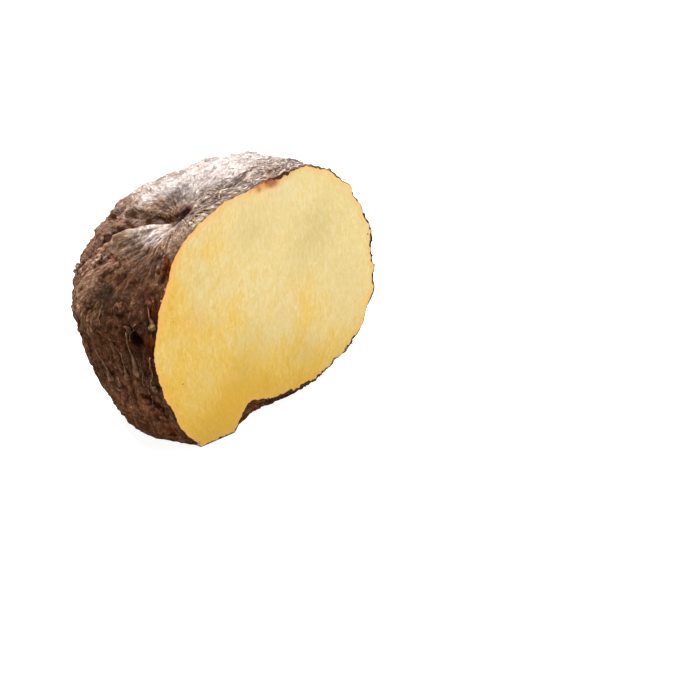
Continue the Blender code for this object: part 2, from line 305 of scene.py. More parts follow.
def streaks_at(sideways, distance, width, length):
    """Noise in streaks that run away from the bud and are as wide near it as far off"""
    band, share = streak_bands(distance)
    near_band = noise_at(streak_lines(sideways, distance, band, width, length))
    far_band = noise_at(streak_lines(sideways, distance, band + 1.0, width, length))
    return ((1.0 - share) * near_band + share * far_band) / np.sqrt(share**2 + (1.0 - share) ** 2)


def wandering(points):
    """The way from the bud, made to wander a little as fibres do"""
    sideways, distance = way_from_bud(points)
    turned = sideways + rough(points, WANDER) / np.maximum(distance, WANDER_FROM)
    return turned, distance + rough(points, WANDER_ALONG)


def fan_of_wrinkles(points):
    """Sharp wrinkles that fan out from the bud, highest on the narrow strip between it and the cut"""
    sideways, distance = way_from_bud(points)
    turned = sideways + rough(points, FAN_WANDER) / np.maximum(distance, FAN_WANDER_FROM)
    crests = FAN_FLOOR - np.abs(np.sin(0.5 * FAN_COUNT * turned + rough(points + 30.0, FAN_SWING)))
    reach = rise(distance, *FAN_GROWS) * rise(distance, *FAN_FADES)
    near_cut = FAN_AWAY_FROM_CUT + (1.0 - FAN_AWAY_FROM_CUT) * rise(points[:, 1], *FAN_NEAR_CUT)
    return FAN_HEIGHT * crests * reach * near_cut * (FAN_PATCHES_LEAST + rough(points + 70.0, FAN_PATCHES))


def fine_relief(points):
    """Height of the skin's fine relief, and the part of it that colours the bark, light on crests and dark in
    cracks, as rubbing, dirt and painted shade: wrinkles, ridges and crust
    """
    sideways, distance = wandering(points)
    into_ridges = 1.0 - 2.0 * rise(distance, *RIDGES_GROW)
    height = np.zeros(len(points))
    for width, length, size in WRINKLES:
        folds = np.abs(streaks_at(sideways, distance, width, length)) - WRINKLE_FLOOR
        height += size * folds * into_ridges
    height *= PATCHES_LEAST + rough(points + 50.0, PATCHES)
    height += fan_of_wrinkles(points)
    crests = height.copy()

    off_bud = rise(distance, *CRUST_GROWS)
    bold = 1.0 + BOLDNESS * hump(distance_to(points, BOLD_PLACE), BOLD_RADIUS)
    height += rough(points, CRUMPLES) * (CRUMPLES_AT_BUD + (1.0 - CRUMPLES_AT_BUD) * off_bud) * bold
    crust = CRUST_HEIGHT * np.maximum(rough(points, CRUST) - CRUST_FLOOR, 0.0)
    crust *= rise(rough(points + 90.0, CRUST_PATCHES), *CRUST_BEGINS)
    crust *= (CRUST_AT_BUD + (1.0 - CRUST_AT_BUD) * off_bud) * bold
    height += crust
    crests += crust + CRUMPLES_IN_RUBBING_AND_SHADE * (height - crests)
    for path, depth, width in CRACKS:
        crack = depth * hump(distance_to_path(points, path), width)
        height -= crack
        crests -= CRACK_DARKNESS * crack
    for place, swell, radius in SWELLS:
        height += swell * hump(distance_to(points, place), radius)

    x, y, z = points.T
    upper_right = rise(x, *DROP_ACROSS) * rise(z, *DROP_UP)
    height -= EDGE_DROP * upper_right * rise(y, *DROP_BEGINS) * rise(y, *DROP_ENDS)
    left_edge = rise(x, *LEFT_ACROSS) * rise(z, *LEFT_UP)
    return height * (1.0 - LEFT_EVENED * left_edge * rise(y, *LEFT_BAND)), crests


def outward_from_core(points):
    outward = points - (CORE_X, WIDEST, CORE_Z)
    return outward / np.linalg.norm(outward, axis=1)[:, None]


def corm_surface(directions, with_fine=True):
    """Points of the skin in the given directions, and how far they stand over the creases beside them"""
    points = bare_corm(directions)
    at_cut = points[:, 1] < 0.01
    height, creases = broad_relief(points)
    fine, crests = fine_relief(points) if with_fine else (0.0, 0.0)
    points += outward_from_core(points) * (height + fine)[:, None]
    points[:, 1] = np.where(at_cut, 0.0, np.maximum(points[:, 1], LEAST_DEPTH))
    soft = BASE_SOFTNESS * (np.clip(points[:, 2] / BASE_SOFTNESS, -1.0, 1.0) + 1.0) ** 2 / 4.0
    points[:, 2] = np.where(points[:, 2] > BASE_SOFTNESS, points[:, 2], soft)
    return points, creases + crests


def cut_sphere(subdivisions):
    """A sphere of directions with an exact ring of edges where the cut goes"""
    bm = bmesh.new()
    bmesh.ops.create_icosphere(bm, subdivisions=subdivisions, radius=1.0)
    bmesh.ops.bisect_plane(
        bm,
        geom=bm.verts[:] + bm.edges[:] + bm.faces[:],
        dist=MERGE_AT_CUT,
        plane_co=(0.0, CUT_AT, 0.0),
        plane_no=(0.0, -1.0, 0.0),
        use_snap_center=True,
    )
    return bm


def directions_of(bm):
    directions = np.array([vert.co[:] for vert in bm.verts])
    on_cut = np.abs(directions[:, 1] - CUT_AT) < ON_CUT
    directions /= np.linalg.norm(directions, axis=1)[:, None]
    directions[on_cut, 1] = CUT_AT
    return directions


def refine(bm, wanted):
    """Halve the edges that the rule asks for, and triangulate round them"""
    bm.verts.index_update()
    directions = directions_of(bm)
    ask = wanted(bare_corm(directions), directions)
    edges = [edge for edge in bm.edges if ask[edge.verts[0].index] and ask[edge.verts[1].index]]
    bmesh.ops.subdivide_edges(bm, edges=edges, cuts=1)
    bmesh.ops.triangulate(bm, faces=[face for face in bm.faces if len(face.verts) > 3])


def from_notch(points):
    """How many degrees round the core points lie from the notch"""
    return np.degrees(np.arctan2(points[:, 2] - CORE_Z, points[:, 0] - CORE_X)) % 360.0 - NOTCH_ANGLE


# Where the mesh is refined, and how far round the core from the notch the flesh is
OFF_CUT = 0.001
FLANK_MOST = (26.0, 104.0)
FLANK_ABOVE = 4.0
TOP_MOST = 108.0
TOP_ABOVE = 120.0
BUD_REFINED = 29.0
RIM_REFINED = 2.2
NOTCH_REFINED = 7.0


def well_seen(points, directions):
    """Skin towards the flank, the shoulder and the bud, which carries the finest relief"""
    x, y, z = points.T
    flank = (x < FLANK_MOST[0]) & (y < FLANK_MOST[1]) & (z > FLANK_ABOVE)
    top = (x < TOP_MOST) & (z > TOP_ABOVE)
    return (flank | top) & (directions[:, 1] > CUT_AT + OFF_CUT)


def beside_bud(points, directions):
    return (distance_to(points, BUD) < BUD_REFINED) & (directions[:, 1] > CUT_AT + OFF_CUT)


def below_notch(points, directions):
    """Flesh where the outline steps in sharply, so that no facet there folds over"""
    return (np.abs(from_notch(points)) < NOTCH_REFINED) & (directions[:, 1] < CUT_AT + 1e-6)


def at_rim(points, directions):
    return np.abs(points[:, 1]) < RIM_REFINED


rough_form = cut_sphere(ROUGH_SUBDIVISIONS)
rough_points, _ = corm_surface(np.maximum(directions_of(rough_form), (-1.0, CUT_AT, -1.0)), with_fine=False)
for vert, place in zip(rough_form.verts, rough_points):
    vert.co = place
smooth_skin = BVHTree.FromBMesh(rough_form)
rough_form.free()

corm = cut_sphere(SPHERE_SUBDIVISIONS)
for wanted in (well_seen, at_rim, beside_bud, below_notch):
    refine(corm, wanted)
directions = directions_of(corm)
is_flesh = directions[:, 1] < CUT_AT + 1e-6

# The skin lies on the sphere's points behind the cut, and the flesh fills its rim evenly to the middle
rim_directions = directions[is_flesh].copy()
reach = np.arccos(np.clip(-rim_directions[:, 1], -1.0, 1.0)) / math.acos(-CUT_AT)
rim_directions[:, 1] = CUT_AT
rim_points, _ = corm_surface(rim_directions)
face_middle = np.array((CORE_X, 0.0, CORE_Z))
places = np.zeros_like(directions)
ridge = np.zeros(len(directions))
places[~is_flesh], ridge[~is_flesh] = corm_surface(directions[~is_flesh])
places[is_flesh] = face_middle + (rim_points - face_middle) * reach[:, None]

# Beside the notch the flesh is evened out, all but its rim
EVENING_ROUNDS = 40
NOTCH_EVENED = 13.0
uneven = is_flesh & (np.abs(from_notch(places)) < NOTCH_EVENED) & (directions[:, 1] < CUT_AT - 1e-4)
for vert, place in zip(corm.verts, places):
    vert.co = place
loose = [vert for vert, chosen in zip(corm.verts, uneven) if chosen]
for _ in range(EVENING_ROUNDS):
    bmesh.ops.smooth_vert(corm, verts=loose, factor=0.5, use_axis_x=True, use_axis_z=True)
places[uneven] = [vert.co[:] for vert in loose]

# The knife left the flesh faintly rippled along its upright fibres, which bow out towards the sides
FACE_HALF_HEIGHT = 104.0
FIBRE_WANDER = ((14.0, 1.5),)
RIPPLES = ((3.4, 16.0, 0.16), (1.7, 8.0, 0.09))
RIPPLES_BEGIN = (0.0, 4.0)
NOTCH_SMOOTH = 5.0
flesh_places = places[is_flesh]
bow = np.sqrt(np.maximum(1.0 - ((flesh_places[:, 2] - CORE_Z) / FACE_HALF_HEIGHT) ** 2, 0.1))
fibre_lane = (flesh_places[:, 0] - CORE_X) / bow + rough(flesh_places, FIBRE_WANDER)
ripples = np.zeros(len(flesh_places))
for width, length, size in RIPPLES:
    lanes = np.column_stack((fibre_lane / width, flesh_places[:, 2] / length, np.full(len(bow), width)))
    ripples += size * (0.5 + noise_at(lanes))

# Distance of each point of the flesh from the skin, along the cut
RIM_POINTS = 2400
turn = np.radians(np.linspace(0.0, 360.0, RIM_POINTS, endpoint=False))
rim_line, _ = corm_surface(np.column_stack((np.cos(turn), np.full_like(turn, CUT_AT), np.sin(turn))))
rim_tree = kdtree.KDTree(len(rim_line))
for number, point in enumerate(rim_line):
    rim_tree.insert(point, number)
rim_tree.balance()
from_rim = np.zeros(len(directions))
from_rim[is_flesh] = [rim_tree.find(point)[2] for point in flesh_places]
ripples *= rise(from_rim[is_flesh], *RIPPLES_BEGIN) * (1.0 - hump(from_notch(flesh_places), NOTCH_SMOOTH))
places[is_flesh, 1] += ripples

# Places of the root scars: a seeded rule, none on the bud, the base or the cut.
# The noise that roughens small pieces is seeded too, so that each run gives the same.
SEED = 11
noise.seed_set(SEED)
SCAR_COUNT = 100
SCAR_TRIES = 6000
SCAR_SPACING = 11.5
SCAR_RADIUS = (2.1, 3.4)
CLEAR_OF_CUT = 4.5
CLEAR_OF_BASE = 10.0
CLEAR_OF_BUD = 60.0
SHOULDER_RADIUS = 95.0
SHOULDER_SHARE = 0.35
PLACED_SCARS = ((-31, 27, 91), (-23, 9, 96), (-32, 20, 81), (-17, 12, 21), (-20, 14, 29), (-25, 58, 24))
PLACED_ROOTS = (
    ((-33, 20, 70), (-28, 17, 53)), ((-35, 26, 68), (-30, 26, 48)), ((-23, 9, 95), (-25, 5, 84)),
    ((-27, 5, 68), (-24, 10, 48)), ((-38, 42, 62), (-31, 40, 42)), ((-32, 31, 48), (-29, 34, 38)),
)


def find_scars():
    draw = random.Random(SEED)
    found = [smooth_skin.find_nearest(Vector(place))[:2] for place in PLACED_SCARS]
    root_ends = [Vector(end) for root in PLACED_ROOTS for end in root]
    for _ in range(SCAR_TRIES):
        direction = Vector((draw.gauss(0, 1), draw.gauss(0, 1), draw.gauss(0, 1))).normalized()
        lucky = draw.random() < SHOULDER_SHARE
        if direction.y < CUT_AT or len(found) >= SCAR_COUNT:
            continue
        guess = Vector(bare_corm(np.array([direction]))[0])
        place, normal = smooth_skin.find_nearest(guess)[:2]
        from_bud = (place - Vector(BUD)).length
        if place.y < CLEAR_OF_CUT or place.z < CLEAR_OF_BASE or from_bud < CLEAR_OF_BUD:
            continue
        if from_bud < SHOULDER_RADIUS and not lucky:
            continue
        if any((place - other).length < SCAR_SPACING for other, _ in found):
            continue
        if any((place - end).length < SCAR_SPACING for end in root_ends):
            continue
        found.append((place, normal))
    return found


scars = find_scars()
draw = random.Random(SEED + 2)
scar_radii = [draw.uniform(*SCAR_RADIUS) for _ in scars]

# The skin swells softly under each scar
SWELL_HEIGHT = 0.7
SWELL_REACH = 1.5
SWELL_WITHIN = 12.0
scar_tree = kdtree.KDTree(len(scars))
for number, (place, _) in enumerate(scars):
    scar_tree.insert(place, number)
scar_tree.balance()
outward = outward_from_core(places)
for i in np.flatnonzero(~is_flesh & (places[:, 1] > 0.1)):
    _, number, distance = scar_tree.find(places[i])
    if distance < SWELL_WITHIN:
        places[i] += outward[i] * SWELL_HEIGHT * hump(distance, scar_radii[number] * SWELL_REACH)

for vert, place in zip(corm.verts, places):
    vert.co = place
for face in corm.faces:
    face.material_index = 1 if all(is_flesh[vert.index] for vert in face.verts) else 0
corm.normal_update()
skin = BVHTree.FromBMesh(corm)


def finished_piece(name, bm):
    """Move a mesh from the frame of the cut into the part's own, in metres, and give it an object"""
    for face in bm.faces:
        face.smooth = True
    bmesh.ops.translate(bm, verts=bm.verts, vec=-BOX_MIDDLE)
    bmesh.ops.scale(bm, verts=bm.verts, vec=(MM, MM, MM))
    mesh = bpy.data.meshes.new(name)
    bm.to_mesh(mesh)
    bm.free()
    piece = bpy.data.objects.new(name, mesh)
    bpy.context.scene.collection.objects.link(piece)
    return piece


def keep(piece, name, values):
    """Store a number or a vector per point on a piece, for its material to read"""
    values = np.asarray(values, np.float32)
    kind, field = ("FLOAT", "value") if values.ndim == 1 else ("FLOAT_VECTOR", "vector")
    piece.data.attributes.new(name, kind, "POINT").data.foreach_set(field, values.ravel())


FIBRE_WIDTH = 2.9
FIBRE_LENGTH = 11.0


def fibre_places(points):
    """Where points lie among the fibres: two sets of streaks that take turns, so their width stays even"""
    sideways, distance = wandering(points)
    band, share = streak_bands(distance)
    is_even = np.mod(band, 2.0) < 0.5
    even_band = np.where(is_even, band, band + 1.0)
    odd_band = np.where(is_even, band + 1.0, band)
    even_lines = streak_lines(sideways, distance, even_band, FIBRE_WIDTH, FIBRE_LENGTH)
    odd_lines = streak_lines(sideways, distance, odd_band, FIBRE_WIDTH, FIBRE_LENGTH)
    return even_lines, odd_lines, np.where(is_even, share, 1.0 - share)


def keep_fibres(piece, even_lines, odd_lines, odd_share):
    keep(piece, "even_fibres", even_lines)
    keep(piece, "odd_fibres", odd_lines)
    keep(piece, "odd_share", odd_share)
    keep(piece, "fibre_gain", 1.0 / np.sqrt(odd_share**2 + (1.0 - odd_share) ** 2))


even_lines, odd_lines, odd_share = fibre_places(places)
even_lines[is_flesh] = np.column_stack((fibre_lane, flesh_places[:, 2], np.zeros(len(fibre_lane))))
corm_piece = finished_piece("corm_body", corm)
keep(corm_piece, "ridge", ridge)
keep(corm_piece, "from_rim", from_rim)
keep_fibres(corm_piece, even_lines, odd_lines, odd_share)


class Shader:
    """Short way to write a material's nodes: each call adds a node, wires its inputs and gives its output"""

    def __init__(self, name):
        self.material = bpy.data.materials.new(name)
        self.material.use_nodes = True
        self.tree = self.material.node_tree
        self.surface = self.tree.nodes["Principled BSDF"]

    def node(self, kind, inputs=(), **settings):
        made = self.tree.nodes.new("ShaderNode" + kind)
        for key, value in settings.items():
            setattr(made, key, value)
        for key, value in dict(inputs).items():
            self.wire(made.inputs[key], value)
        return made

    def wire(self, socket, value):
        if isinstance(value, bpy.types.NodeSocket):
            self.tree.links.new(value, socket)
        else:
            socket.default_value = value

    def number(self, name):
        return self.node("Attribute", attribute_name=name).outputs["Fac"]

    def vector(self, name):
        return self.node("Attribute", attribute_name=name).outputs["Vector"]

    def position(self):
        return self.node("TexCoord").outputs["Object"]

    def put(self, name, value):
        self.wire(self.surface.inputs[name], value)

    def stretched(self, vector, scale):
        return self.node("Mapping", {"Vector": vector, "Scale": scale}).outputs["Vector"]

    def noise(self, vector, scale, detail=3.0, roughness=0.55, distortion=0.0):
        inputs = {"Vector": vector, "Scale": scale, "Detail": detail, "Roughness": roughness}
        return self.node("TexNoise", {**inputs, "Distortion": distortion}).outputs["Fac"]

    def shaken(self, vector, scale, reach):
        """A vector pushed about by noise, so that a pattern on it is less regular"""
        push = self.node("VectorMath", operation="SCALE")
        self.wire(push.inputs[0], self.node("TexNoise", {"Vector": vector, "Scale": scale}).outputs["Color"])
        push.inputs["Scale"].default_value = reach
        total = self.node("VectorMath", operation="ADD")
        self.wire(total.inputs[0], vector)
        self.wire(total.inputs[1], push.outputs["Vector"])
        return total.outputs["Vector"]

    def spread(self, value, low, high, to_low=0.0, to_high=1.0):
        inputs = {"Value": value, "From Min": low, "From Max": high, "To Min": to_low, "To Max": to_high}
        return self.node("MapRange", inputs, clamp=True).outputs["Result"]

    def sway(self, noise, amount):
        """Noise spread to the amount either side of nothing"""
        return self.spread(noise, 0.3, 0.7, -amount, amount)

    def calculate(self, operation, first, second=0.0):
        made = self.node("Math", operation=operation)
        self.wire(made.inputs[0], first)
        self.wire(made.inputs[1], second)
        return made.outputs["Value"]

    def add(self, *values):
        return reduce(lambda total, value: self.calculate("ADD", total, value), values)

    def times(self, *values):
        return reduce(lambda total, value: self.calculate("MULTIPLY", total, value), values)

    def lines(self, noise, thin, thick):
        """1 along the lines where noise passes through nothing, 0 beside them"""
        return self.spread(self.calculate("ABSOLUTE", noise), thin, thick, 1.0, 0.0)

    def blend(self, share, first, second, mode="MIX"):
        made = self.node("Mix", data_type="RGBA", blend_type=mode)
        self.wire(made.inputs[0], share)
        self.wire(made.inputs[6], first)
        self.wire(made.inputs[7], second)
        return made.outputs[2]

    def scaled(self, colour, share):
        made = self.node("VectorMath", operation="SCALE")
        self.wire(made.inputs[0], colour)
        self.wire(made.inputs["Scale"], share)
        return made.outputs["Vector"]

    def ramp(self, value, *stops):
        """Colours along a scale, from (place, colour) stops"""
        made = self.node("ValToRGB", {"Fac": value})
        elements = made.color_ramp.elements
        elements[0].position = stops[0][0]
        elements[0].color = stops[0][1]
        elements[1].position = stops[-1][0]
        elements[1].color = stops[-1][1]
        for place, colour in stops[1:-1]:
            elements.new(place).color = colour
        return made.outputs["Color"]

    def near(self, place, radius, share=1.0, measured=None):
        """A share at a place on the piece that falls to 0 at the radius; both in the frame of the cut"""
        offset = self.node("VectorMath", operation="DISTANCE")
        self.wire(offset.inputs[0], measured or self.position())
        offset.inputs[1].default_value = (Vector(place) - BOX_MIDDLE) * MM
        return self.spread(offset.outputs["Value"], radius * MM, 0.0, 0.0, share)

    def changed_near(self, value, spots, measured=None):
        """A value raised or lowered round spots, each a (place, radius, change)"""
        return self.add(value, *(self.near(*spot, measured) for spot in spots))

    def facing_up(self, low, high, to_low=0.0, to_high=1.0):
        """How far the surface faces upwards, where light and dust fall"""
        upward = self.node("SeparateXYZ", {"Vector": self.node("NewGeometry").outputs["Normal"]}).outputs["Z"]
        return self.spread(upward, low, high, to_low, to_high)

    def bump(self, height, distance, strength=1.0, below=None):
        inputs = {"Height": height, "Distance": distance * MM, "Strength": strength}
        if below is not None:
            inputs["Normal"] = below
        return self.node("Bump", inputs).outputs["Normal"]


LOW_BARK = (0.220, 0.100, 0.045, 1.0)
DARK_BARK = (0.138, 0.066, 0.036, 1.0)
BROWN_BARK = (0.145, 0.068, 0.032, 1.0)
TAN_BARK = (0.240, 0.130, 0.066, 1.0)
# Pale grey-lilac, partly the bark's own paleness and partly a painted highlight
PALE_AND_HIGHLIGHT_BARK = (0.395, 0.340, 0.315, 1.0)
RED_BARK = (0.15, 0.036, 0.010, 1.0)
OLIVE_BARK = (0.22, 0.145, 0.085, 1.0)
STRAW_BARK = (0.43, 0.315, 0.215, 1.0)
TAUPE_BARK = (0.215, 0.150, 0.112, 1.0)
PLUM_BARK = (0.115, 0.046, 0.036, 1.0)
# Tints multiplied into the bark: dirt and painted shade darken the creases, while rubbed crests with a
# painted highlight stay light
DIRT_AND_SHADE_DARK = (0.15, 0.095, 0.065, 1.0)
RUBBED_AND_SHADE_MIDDLE = (0.51, 0.47, 0.44, 1.0)
RUBBED_AND_HIGHLIGHT_LIGHT = (0.96, 0.96, 0.96, 1.0)
ORANGE_BARK = (0.36, 0.13, 0.035, 1.0)

# Spots where the bark differs, as (place, radius, change): how pale it is, partly its own paleness and partly
# painted highlight and shade; how red; and how light, partly its own tone and partly painted light and shade
PALENESS_AND_PAINTED_LIGHT_SPOTS = (
    ((16, 45, 134), 20, -0.70), ((11, 64, 128), 15, 0.12), ((6, 80, 122), 24, -0.20),
    ((4, 42, 126), 20, 0.55), ((48, 60, 146), 45, 0.30), ((82, 24, 153), 30, -0.12),
    ((17, 30, 137), 10, -0.60),
)
RED_SPOTS = (
    ((18, 30, 135), 10), ((-12, 4, 118), 10), ((-22, 3, 95), 8), ((-27, 4, 75), 9), ((-26, 4, 60), 10),
    ((-12, 10, 12), 8),
)
# Lighter and darker spots: partly the bark's own tone, partly painted light and shade, with painted shade in
# the bud slot and the hollows of the flank
TONE_AND_PAINTED_SHADE_SPOTS = (
    ((-28, 12, 78), 42, -0.80), ((-30, 18, 77), 9, -0.50), ((-30, 38, 98), 26, -1.00),
    ((-37, 34, 62), 26, 1.05), ((-26, 7, 84), 12, 0.25), ((-14, 13, 14), 18, 0.85),
    ((-28, 31, 34), 21, 1.55), ((18, 30, 135), 9, -1.30), ((-20, 72, 99), 22, 1.10),
    ((-34, 52, 93), 16, 0.35), ((-23, 46, 104), 13, -0.45), ((-6, 38, 116), 20, -0.75),
    ((-14, 18, 113), 14, -0.60), ((-3, 58, 120), 16, -0.95), ((26, 55, 138), 17, -0.80),
    ((44, 43, 146), 22, -0.60), ((-32, 24, 92), 13, 0.85), ((-21, 9, 100), 13, -0.55),
    ((-31, 44, 97), 14, -0.35), ((-30, 22, 62), 12, -0.50), ((-8, 62, 114), 14, -0.10),
    ((9, 64, 126), 9, 0.55),
)
LIGHTNESS = 1.85

bark = Shader("corky skin")
where = bark.position()


def along_fibres(scale, detail, roughness, distortion=0.0):
    """Noise drawn out along the fibres, from the two sets of streaks in turn"""
    even, odd = (
        bark.noise(bark.vector(name), scale, detail, roughness, distortion)
        for name in ("even_fibres", "odd_fibres")
    )
    return bark.node("Mix", {0: bark.number("odd_share"), 2: even, 3: odd}).outputs[0]


fibres = bark.times(bark.add(along_fibres(1.0, 4.0, 0.60, 0.7), -0.5), bark.number("fibre_gain"))
bands = along_fibres(0.33, 3.0, 0.55)
crinkles = bark.add(bark.noise(where, 210.0, 4.0, 0.6, 0.6), -0.5)
creases = bark.calculate("MAXIMUM", bark.lines(fibres, 0.01, 0.06), bark.lines(crinkles, 0.01, 0.06))
slit_noise = bark.noise(bark.stretched(where, (0.24, 0.8, 1.0)), 300.0, 2.0, 0.5, 0.5)
slit_patches = bark.spread(bark.noise(where, 120.0, 2.0, 0.5), 0.44, 0.56)
slit_lines = bark.lines(bark.add(slit_noise, -0.5), 0.015, 0.06)
slits = bark.times(slit_lines, slit_patches, bark.near((72, 10, 153), 40, 1.6))
fan_spread = bark.near((36, 8, 142), 34)
fan_lines = bark.times(bark.lines(fibres, 0.015, 0.085), fan_spread, 1.5)
mottle = bark.noise(where, 60.0, 4.0, 0.6)
blotches = bark.noise(where, 150.0, 4.0, 0.62)
speckle = bark.noise(where, 430.0, 3.0, 0.65)
grain_cells = bark.node("TexVoronoi", {"Vector": bark.shaken(where, 900.0, 0.0012), "Scale": 370.0})
grains = bark.spread(grain_cells.outputs["Distance"], 0.15, 0.75, 1.0, 0.0)
crusty = bark.spread(bark.noise(where, 42.0, 3.0, 0.6), 0.44, 0.58)
crusty = bark.changed_near(crusty, (((-20, 60, 104), 16, 0.9),))

# The bark is dark on the flanks and paler towards the top, partly its own paleness and partly a painted
# highlight where the top light falls, but brown down in the bowl, where painted shade holds it dark
spot = bark.node("SeparateXYZ", {"Vector": where})
height = spot.outputs["Z"]
beside_cut = bark.add(spot.outputs["Y"], BOX_MIDDLE.y * MM)
paleness_and_painted_light = bark.add(
    bark.spread(height, 0.086, 0.150),
    bark.spread(bark.noise(where, 16.0), 0.35, 0.65, -0.18, 0.12),
    bark.sway(mottle, 0.14),
    bark.sway(bands, 0.14),
    bark.spread(beside_cut, 0.0, 26.0 * MM, -0.16, 0.0),
)
# Painted highlight on the lip and the top, and painted shade in the bowl and the bud slot
paleness_and_painted_light = bark.changed_near(paleness_and_painted_light, PALENESS_AND_PAINTED_LIGHT_SPOTS)
colour = bark.ramp(paleness_and_painted_light, (0.15, DARK_BARK), (0.36, BROWN_BARK), (0.58, TAN_BARK), (1.0, PALE_AND_HIGHLIGHT_BARK))
hues = bark.noise(where, 30.0, 4.0, 0.62, 0.6)
below_top = bark.spread(paleness_and_painted_light, 0.9, 0.5)
olive_share = bark.changed_near(bark.spread(hues, 0.52, 0.68, 0.0, 0.6), (((-38, 60, 86), 32, 0.45),))
for share, tint in (
    (bark.spread(height, 0.045, 0.0, 0.0, 0.6), LOW_BARK),
    (bark.near((30, 6, 140), 40, 0.75), STRAW_BARK),
    (bark.near((-20, 74, 100), 34, 0.75), TAUPE_BARK),
    (bark.times(olive_share, below_top), OLIVE_BARK),
    (bark.times(bark.spread(hues, 0.46, 0.32, 0.0, 0.7), below_top), PLUM_BARK),
    (bark.spread(mottle, 0.52, 0.66, 0.0, 0.35), RED_BARK),
):
    colour = bark.blend(share, colour, tint)
patchy = bark.spread(mottle, 0.35, 0.6, 0.55, 1.5)
for place, radius in RED_SPOTS:
    share = bark.calculate("MINIMUM", bark.times(bark.near(place, radius), patchy), 0.9)
    colour = bark.blend(share, colour, RED_BARK)
colour = bark.blend(bark.near((-26, 35, 104), 6, 0.8), colour, ORANGE_BARK)

# Crests are rubbed lighter and carry a painted highlight, and creases, slits and hollows hold dark dirt and
# painted shade, most starkly on the shoulder
rubbing_and_relief_shade = bark.add(
    bark.spread(bark.number("ridge"), -1.6, 1.6),
    fibres,
    bark.times(crinkles, 0.8),
    bark.times(creases, -0.20),
    bark.times(slits, -1.0),
    bark.times(fan_lines, -0.8),
    bark.times(bark.add(grains, -0.45), crusty, 0.45),
    bark.spread(speckle, 0.3, 0.7, -0.15, 0.15),
)
starkness = bark.changed_near(1.0, (((-4, 60, 117), 26, 0.7),))
rubbing_and_relief_shade = bark.add(0.52, bark.times(bark.add(rubbing_and_relief_shade, -0.5), starkness))
rubbing_and_relief_shade_tint = bark.ramp(rubbing_and_relief_shade, (0.05, DIRT_AND_SHADE_DARK), (0.5, RUBBED_AND_SHADE_MIDDLE), (1.0, RUBBED_AND_HIGHLIGHT_LIGHT))
rubbing_and_relief_shade_share = bark.spread(paleness_and_painted_light, 0.7, 1.1, 1.0, 0.62)
rubbing_and_relief_shade_share = bark.add(rubbing_and_relief_shade_share, bark.times(slits, 0.3), bark.times(fan_spread, 0.4))
rubbing_and_relief_shade_share = bark.calculate("MINIMUM", rubbing_and_relief_shade_share, 1.0)
# The bark's colour made lighter and darker round spots, partly its own tone and partly painted light and
# shade
tone_and_painted_shade = bark.changed_near(LIGHTNESS, TONE_AND_PAINTED_SHADE_SPOTS, bark.shaken(where, 70.0, 0.004))
bark.put("Base Color", bark.scaled(bark.blend(rubbing_and_relief_shade_share, colour, rubbing_and_relief_shade_tint, "MULTIPLY"), tone_and_painted_shade))
bark.put("Roughness", bark.spread(blotches, 0.3, 0.7, 0.42, 0.60))
sheen = bark.times(bark.facing_up(0.3, 0.95, 0.0, 0.8), bark.spread(height, 0.105, 0.150, 0.06, 1.0))
bark.put("Specular IOR Level", sheen)
relief = bark.add(
    bark.times(fibres, 1.3),
    crinkles,
    bark.times(creases, -0.55),
    bark.times(slits, -1.0),
    bark.times(fan_lines, -0.9),
    bark.times(grains, bark.spread(crusty, 0.0, 1.5, 0.10, 0.9)),
    bark.times(blotches, 1.4),
    bark.times(speckle, 0.5),
)
bark.put("Normal", bark.bump(relief, 2.0))

CREAM_FLESH = (0.85, 0.635, 0.235, 1.0)
YELLOW_FLESH = (0.84, 0.53, 0.080, 1.0)
GOLDEN_FLESH = (0.78, 0.45, 0.040, 1.0)
WHITE_FLESH = (0.84, 0.70, 0.37, 1.0)
GREEN_FLESH = (0.60, 0.44, 0.115, 1.0)
PINK_FLESH = (0.84, 0.56, 0.30, 1.0)
OCHRE_FLESH = (0.78, 0.38, 0.055, 1.0)
ORANGE_RIM = (0.90, 0.44, 0.11, 1.0)
STAIN = (0.27, 0.055, 0.018, 1.0)
ORANGE_STAIN = (0.72, 0.26, 0.07, 1.0)
# Dark line of bark, also used for the painted shadow at the foot of the lobe
SKIN_AND_SHADOW_LINE = (0.075, 0.038, 0.020, 1.0)
SPECK = (0.12, 0.05, 0.02, 1.0)

# Spots of the cut face, as (place, radius, share, colour), and where its rim glows or its bark shows, with a
# painted shadow at the foot of the lobe
TINTED_SPOTS = (
    ((94, 0, 114), 26, 0.80, GREEN_FLESH), ((82, 0, 95), 22, 0.45, GREEN_FLESH),
    ((85, 0, 40), 20, 0.35, GREEN_FLESH), ((73, 0, 74), 16, 0.35, PINK_FLESH),
    ((66, 0, 145), 12, 0.55, PINK_FLESH), ((3, 0, 83), 11, 0.45, OCHRE_FLESH),
    ((35, 0, 38), 16, 0.40, GREEN_FLESH), ((41, 0, 54), 20, 0.35, GREEN_FLESH),
    ((46, 0, 123), 20, 0.50, GREEN_FLESH), ((56, 0, 94), 20, 0.45, WHITE_FLESH),
    ((73, 0, 145), 13, 1.20, WHITE_FLESH), ((86, 0, 138), 14, 0.60, WHITE_FLESH),
    ((97, 0, 52), 20, 0.35, WHITE_FLESH), ((107, 0, 50), 24, 1.00, CREAM_FLESH),
)
GLOWING_SPOTS = (((-8, 0, 118), 42, 0.48), ((-22, 0, 80), 34, 0.35), ((142, 0, 75), 45, 0.40))
STAIN_SPOTS = (((59.5, 0, 152.8), 5.5, 1.0), ((64.5, 0, 152), 5.5, 1.0), ((53, 0, 150.5), 4.0, 1.0))
